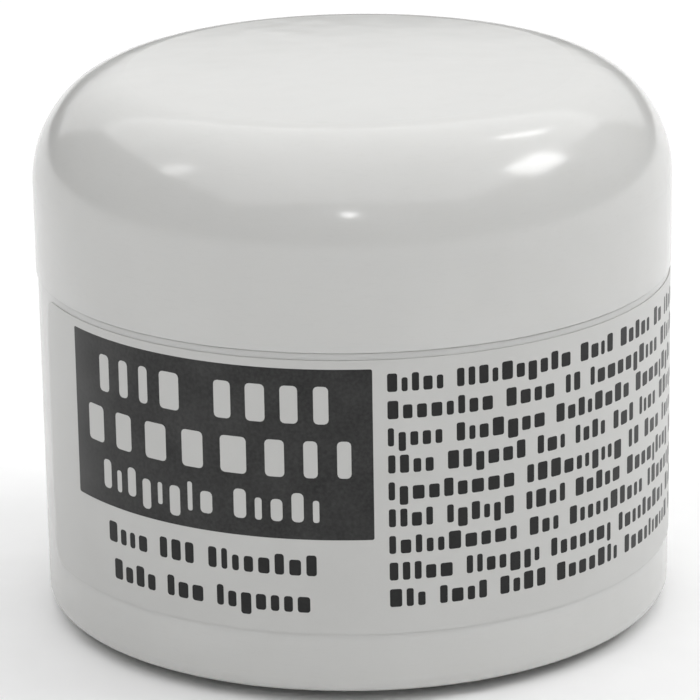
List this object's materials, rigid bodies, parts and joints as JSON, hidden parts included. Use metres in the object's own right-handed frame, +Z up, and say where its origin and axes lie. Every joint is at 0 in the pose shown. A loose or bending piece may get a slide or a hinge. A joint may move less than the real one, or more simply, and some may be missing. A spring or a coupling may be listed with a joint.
{
  "type": "screw-cap jar of heat sink compound",
  "caption": "Small double-wall plastic jar of thermal paste with a domed screw cap, foam liner, inner cup and a wrapped printed label.",
  "frame": {"origin": "centre of the base, on the surface that the jar stands on", "axes": "+Z up, along the axis of the jar and of its thread; the middle of the label faces -Y"},
  "size_m": [0.037, 0.037, 0.0324],
  "materials": {
    "outer_jar": "gloss",
    "inner_cup": "satin",
    "compound": "satin",
    "label": "satin",
    "cap_liner": "matte",
    "cap_insert": "satin",
    "cap_dome": "gloss"
  },
  "bodies": {
    "jar": {"outer_jar": "outer_jar", "inner_cup": "inner_cup", "compound": "compound", "label": "label"},
    "liner": {"cap_liner": "cap_liner"},
    "cap": {"cap_dome": "cap_dome", "cap_insert": "cap_insert"}
  },
  "joints": [
    {"name": "cap_lift", "type": "slide", "parent": "jar", "child": "liner", "axis": [0, 0, 1], "range_m": [0, 0.01271]},
    {"name": "cap_turn", "type": "hinge", "parent": "liner", "child": "cap", "pos_m": [0, 0, 0.02063], "axis": [0, 0, 1], "range_deg": [0, 1080]}
  ],
  "couplings": [
    {"joint": "cap_lift", "follows": "cap_turn", "m_per_rad": 0.00067376}
  ]
}
